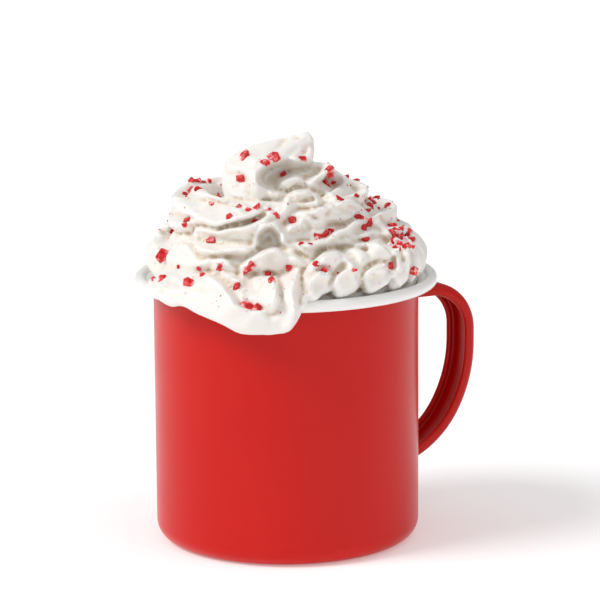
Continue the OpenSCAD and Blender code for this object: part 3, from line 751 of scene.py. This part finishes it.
class Scatter:
    """Drops chips onto the cream and gathers them as one mesh for each kind."""

    def __init__(self, cream):
        self.tree = BVHTree.FromPolygons([v.co.copy() for v in cream.data.vertices],
                                         [tuple(p.vertices) for p in cream.data.polygons])
        self.rng = random.Random(12)
        self.heaps = {"candy_red": ([], []), "candy_pale": ([], [])}

    def put(self, kind, spot, normal, size, stretch, lean, right_axis, sink=0.2):
        """Lays a chip on the surface at spot, leant by an angle and pressed in a little."""
        points, faces = shard(self.rng, size, stretch)
        up = (normal + Vector([self.rng.uniform(-0.6, 0.6) for _ in range(3)])).normalized()
        side = (right_axis - up * right_axis.dot(up)).normalized()
        other = up.cross(side)
        c, t = math.cos(math.radians(lean)), math.sin(math.radians(lean))
        verts, tris = self.heaps[kind]
        base = len(verts)
        centre = spot / MM + up * size * (0.25 - sink)
        for p in points:
            verts.append(centre + side * (p.x * c - p.y * t) + other * (p.x * t + p.y * c) + up * p.z)
        tris.extend(tuple(base + k for k in f) for f in faces)

    def front(self, kind, right_mm, up_mm, size, stretch, lean):
        """Lays a chip where a spot on the front sheet falls on the cream."""
        eye = Vector((0, 0, VIEW_HEIGHT)) + BACK * VIEW_DISTANCE
        goal = Vector((0, 0, VIEW_HEIGHT)) + BACK * SHEET * MM + RIGHT * right_mm * MM + UP * up_mm * MM
        spot, normal = self.tree.ray_cast(eye, (goal - eye).normalized())[:2]
        if spot is not None and spot.z > 0.08:
            facing = (normal + BACK * 0.8).normalized()
            self.put(kind, spot, facing, size, stretch, lean, RIGHT)

    def around(self, kind, angle, reach, size):
        """Lays a chip from above and outside, at an angle round the mug."""
        a = math.radians(angle)
        away = Vector((math.cos(a), math.sin(a), 0))
        start = away * (reach + 45) * MM + Vector((0, 0, 0.175))
        aim = away * reach * MM + Vector((0, 0, 0.105)) - start
        spot, normal = self.tree.ray_cast(start, aim.normalized())[:2]
        if spot is not None and spot.z > 0.092:
            self.put(kind, spot, normal, size, self.rng.uniform(0.7, 1.5), self.rng.uniform(0, 180),
                     Vector((away.y, -away.x, 0)))

    def piece(self, kind):
        """One mesh of all the chips of a kind."""
        verts, faces = self.heaps[kind]
        return new_object(kind, verts, faces, smooth=False)


def make_candy(cream):
    """The chips listed for the front, the heap, the crumbs, and the scatter at the sides and back."""
    scatter = Scatter(cream)
    rng = scatter.rng
    for right_mm, up_mm, size, stretch, lean in BITS:
        scatter.front("candy_red", right_mm, up_mm, size * 1.3, stretch, lean)
        if size > 2.2:
            for _ in range(5):
                aside, above = rng.gauss(0, 0.45) * size, rng.gauss(0, 0.45) * size
                scatter.front("candy_pale", right_mm + aside, up_mm + above, rng.uniform(0.6, 1.4), 1,
                              rng.uniform(0, 180))
    x, y, r = CLUSTER
    for n in range(48):
        a, q = rng.uniform(0, TAU), r * math.sqrt(rng.random())
        kind = "candy_pale" if n % 3 == 0 else "candy_red"
        scatter.front(kind, x + q * math.cos(a), y + q * math.sin(a), rng.uniform(1.8, 3.4),
                      rng.uniform(0.8, 1.4), rng.uniform(0, 180))
    for n in range(170):
        a = rng.uniform(0, TAU)
        q = math.sqrt(rng.random())
        kind = "candy_red" if n % 12 == 0 else "candy_pale"
        scatter.front(kind, -2 + 40 * q * math.cos(a), 18 + 24 * q * math.sin(a),
                      rng.uniform(0.35, 0.95), 1, rng.uniform(0, 180))
    for n in range(78):
        angle = rng.uniform(-35, 145)
        reach = 44 * math.sqrt(rng.random())
        scatter.around("candy_red", angle, reach, rng.uniform(1.4, 4.0) if n % 3 else rng.uniform(3, 4.4))
    for n in range(190):
        angle = rng.uniform(-45, 160)
        reach = 45 * math.sqrt(rng.random())
        scatter.around("candy_pale" if n % 3 else "candy_red", angle, reach, rng.uniform(0.4, 1.1))
    return scatter.piece("candy_red"), scatter.piece("candy_pale")


# ---- materials ----

def material(name, color, roughness, **sockets):
    """A principled material; returns it with its tree and shader."""
    mat = bpy.data.materials.new(name)
    mat.use_nodes = True
    shader = mat.node_tree.nodes["Principled BSDF"]
    shader.inputs["Base Color"].default_value = (*color, 1)
    shader.inputs["Roughness"].default_value = roughness
    for key, value in sockets.items():
        shader.inputs[key.replace("_", " ")].default_value = value
    return mat, mat.node_tree, shader


def noise_node(tree, scale, detail=3.0, rough=0.5, stretch=(1, 1, 1)):
    """Noise in metres of the object's own space; returns its value output."""
    where = tree.nodes.new("ShaderNodeTexCoord")
    mapping = tree.nodes.new("ShaderNodeMapping")
    mapping.inputs["Scale"].default_value = stretch
    tree.links.new(where.outputs["Object"], mapping.inputs["Vector"])
    node = tree.nodes.new("ShaderNodeTexNoise")
    node.inputs["Scale"].default_value = scale
    node.inputs["Detail"].default_value = detail
    node.inputs["Roughness"].default_value = rough
    tree.links.new(mapping.outputs["Vector"], node.inputs["Vector"])
    return node.outputs["Fac"]


def vary_color(tree, shader, value, stops):
    """Drives the base colour by a value through colour stops [(place, colour)]."""
    ramp = tree.nodes.new("ShaderNodeValToRGB")
    while len(ramp.color_ramp.elements) < len(stops):
        ramp.color_ramp.elements.new(0.5)
    for element, (place, color) in zip(ramp.color_ramp.elements, stops):
        element.position = place
        element.color = (*color, 1)
    tree.links.new(value, ramp.inputs["Fac"])
    tree.links.new(ramp.outputs["Color"], shader.inputs["Base Color"])


def vary_roughness(tree, shader, value, low, high):
    """Drives the roughness by a value, between low and high."""
    span = tree.nodes.new("ShaderNodeMapRange")
    span.inputs["From Min"].default_value = 0.3
    span.inputs["From Max"].default_value = 0.7
    span.inputs["To Min"].default_value = low
    span.inputs["To Max"].default_value = high
    tree.links.new(value, span.inputs["Value"])
    tree.links.new(span.outputs["Result"], shader.inputs["Roughness"])


def bump(tree, shader, value, depth_mm, strength=1.0, after=None):
    """Adds bumps of a given depth, on top of earlier ones if there are any."""
    node = tree.nodes.new("ShaderNodeBump")
    node.inputs["Strength"].default_value = strength
    node.inputs["Distance"].default_value = depth_mm * MM
    tree.links.new(value, node.inputs["Height"])
    if after:
        tree.links.new(after.outputs["Normal"], node.inputs["Normal"])
    tree.links.new(node.outputs["Normal"], shader.inputs["Normal"])
    return node


# Colours of the cream by how hollow or sharp its skin is: painted shade, dark and warm, in the depth of a
# crease, up to a pale top of a crest
CREAM_PAINTED_SHADE_STOPS = [(0.44, (0.76, 0.62, 0.46)), (0.485, (0.87, 0.81, 0.73)), (0.51, (0.91, 0.875, 0.825)),
               (0.55, (0.93, 0.905, 0.87))]


def cream_material():
    """Warm white whipped cream: light passes into it, its skin has fine air bubbles, and its creases carry
    painted shade.
    """
    mat, tree, shader = material("cream_mat", (0.92, 0.88, 0.82), 0.5, Subsurface_Weight=0.3,
                                 Subsurface_Scale=0.0016, Subsurface_Radius=(1.0, 0.62, 0.36))
    # painted shade: the colour darkens and warms where the skin is concave, by its pointiness, with a
    # little random mottle on top
    bend = tree.nodes.new("ShaderNodeNewGeometry").outputs["Pointiness"]
    crease_shade_and_mottle = tree.nodes.new("ShaderNodeMath")
    crease_shade_and_mottle.operation = "MULTIPLY_ADD"
    tree.links.new(noise_node(tree, 45, 3), crease_shade_and_mottle.inputs[0])
    crease_shade_and_mottle.inputs[1].default_value = 0.03
    tree.links.new(bend, crease_shade_and_mottle.inputs[2])
    vary_color(tree, shader, crease_shade_and_mottle.outputs["Value"], CREAM_PAINTED_SHADE_STOPS)
    vary_roughness(tree, shader, noise_node(tree, 180, 2), 0.42, 0.6)
    first = bump(tree, shader, noise_node(tree, 260, 4, 0.6), 0.5, 0.6)
    bump(tree, shader, noise_node(tree, 900, 4, 0.7), 0.22, 0.7, first)
    return mat


def enamel_material(name, dark, light, roughness):
    """Vitreous enamel on pressed steel: glossy, faintly uneven, with a slight orange peel."""
    mat, tree, shader = material(name, light, roughness, Coat_Weight=0.05, Coat_Roughness=0.08,
                                 Specular_IOR_Level=0.2)
    vary_color(tree, shader, noise_node(tree, 22, 3), [(0.3, dark), (0.7, light)])
    vary_roughness(tree, shader, noise_node(tree, 60, 3), roughness - 0.02, roughness + 0.03)
    bump(tree, shader, noise_node(tree, 420, 1), 0.02, 0.12)
    return mat


def candy_material(name, stops, roughness=0.22):
    """Broken hard candy: glassy chips, partly let through by light."""
    mat, tree, shader = material(name, stops[0][1], roughness, Subsurface_Weight=0.35,
                                 Subsurface_Scale=0.001, Subsurface_Radius=(1.0, 0.35, 0.3))
    vary_color(tree, shader, noise_node(tree, 520, 3), stops)
    vary_roughness(tree, shader, noise_node(tree, 500, 2), roughness - 0.08, roughness + 0.2)
    bump(tree, shader, noise_node(tree, 800, 3), 0.4, 0.6)
    return mat


def cocoa_material():
    """Dark milky chocolate drink, hidden under the cream."""
    mat, tree, shader = material("cocoa_mat", (0.13, 0.05, 0.025), 0.2, Subsurface_Weight=0.1,
                                 Subsurface_Scale=0.002)
    vary_color(tree, shader, noise_node(tree, 70, 4), [(0.35, (0.10, 0.038, 0.018)),
                                                       (0.65, (0.17, 0.07, 0.036))])
    vary_roughness(tree, shader, noise_node(tree, 120, 2), 0.15, 0.3)
    bump(tree, shader, noise_node(tree, 260, 3), 0.12, 0.4)
    return mat


RED_STOPS = [(0.36, (0.46, 0.003, 0.006)), (0.52, (0.70, 0.006, 0.011)), (0.60, (0.82, 0.055, 0.06)),
             (0.68, (0.94, 0.58, 0.54))]
PALE_STOPS = [(0.46, (0.92, 0.90, 0.88)), (0.56, (0.92, 0.72, 0.70)), (0.70, (0.88, 0.36, 0.36))]
cream_mat = cream_material()
red_mat = enamel_material("enamel_red_mat", (0.565, 0.006, 0.003), (0.60, 0.008, 0.004), 0.3)
# The handle is the same red enamel as the body, set a little darker here as painted shade.
handle_shaded_mat = enamel_material("enamel_handle_shaded_mat", (0.51, 0.006, 0.003), (0.55, 0.008, 0.004), 0.3)
white_mat = enamel_material("enamel_white_mat", (0.90, 0.90, 0.88), (0.94, 0.93, 0.91), 0.2)
candy_red_mat = candy_material("candy_red_mat", RED_STOPS)
candy_pale_mat = candy_material("candy_pale_mat", PALE_STOPS)
cocoa_mat = cocoa_material()


# ---- build ----

def place(piece, mat, slot, replaces=None):
    """Gives a piece its material and its place in the frame."""
    piece.data.materials.clear()
    piece.data.materials.append(mat)
    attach(piece, "root")
    if replaces:
        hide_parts(replaces)


cream = make_cream()
place(cream, cream_mat, "cream", "whipped_cream")
mug_outside, mug_lining = make_mug()
place(mug_outside, red_mat, "enamel_body", "mug")
place(mug_lining, white_mat, "enamel_lining")
place(make_handle(), handle_shaded_mat, "enamel_handle", "handle")
candy_red, candy_pale = make_candy(cream)
place(candy_red, candy_red_mat, "candy_red")
place(candy_pale, candy_pale_mat, "candy_pale")
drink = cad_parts["hot_chocolate"]
for s in drink.material_slots:
    s.material = cocoa_mat
for piece in (cream, mug_outside, mug_lining, candy_red, candy_pale):
    print(piece.name, sum(len(p.vertices) - 2 for p in piece.data.polygons), "triangles")

# ---- stage ----

FLOOR = 3000            # half the floor's side
floor = new_object("floor", [(-FLOOR, -FLOOR, 0), (FLOOR, -FLOOR, 0), (FLOOR, FLOOR, 0),
(-FLOOR, FLOOR, 0)],
                   [(0, 1, 2, 3)])
floor_mat, tree, shader = material("floor_mat", (0.93, 0.93, 0.93), 0.9, Emission_Color=(1, 1, 1, 1),
                                   Emission_Strength=0.26)
floor.data.materials.append(floor_mat)

camera = bpy.data.objects.new("camera", bpy.data.cameras.new("camera"))
bpy.context.collection.objects.link(camera)
camera.data.lens = 180
camera.data.sensor_width = 36
camera.data.shift_x = 14 / 600
cam_right = RIGHT * math.cos(VIEW_ROLL) - UP * math.sin(VIEW_ROLL)
cam_up = RIGHT * math.sin(VIEW_ROLL) + UP * math.cos(VIEW_ROLL)
pose = Matrix((cam_right, cam_up, BACK)).transposed().to_4x4()
pose.translation = Vector((0, 0, VIEW_HEIGHT)) + BACK * VIEW_DISTANCE
camera.matrix_world = pose
bpy.context.scene.camera = camera


def soft_light(name, right_m, back_m, up_m, strength, spread):
    """An even soft light from far off, placed to the right of, in front of and above the mug."""
    data = bpy.data.lights.new(name, "SUN")
    data.energy = strength
    data.angle = math.radians(spread)
    obj = bpy.data.objects.new(name, data)
    bpy.context.collection.objects.link(obj)
    flat_back = Vector((math.sin(FRONT_TURN), -math.cos(FRONT_TURN), 0))
    obj.location = RIGHT * right_m + flat_back * back_m + Vector((0, 0, up_m))
    obj.rotation_euler = obj.location.to_track_quat("Z", "Y").to_euler()


soft_light("key", -1.0, 0.42, 1.1, 1.75, 26)
soft_light("fill", 0.9, 0.7, 1.2, 0.4, 60)

world = bpy.data.worlds.new("world")
bpy.context.scene.world = world
world.use_nodes = True
world.node_tree.nodes["Background"].inputs["Color"].default_value = (1, 1, 1, 1)
world.node_tree.nodes["Background"].inputs["Strength"].default_value = 0.46
bpy.context.scene.view_settings.view_transform = "Standard"
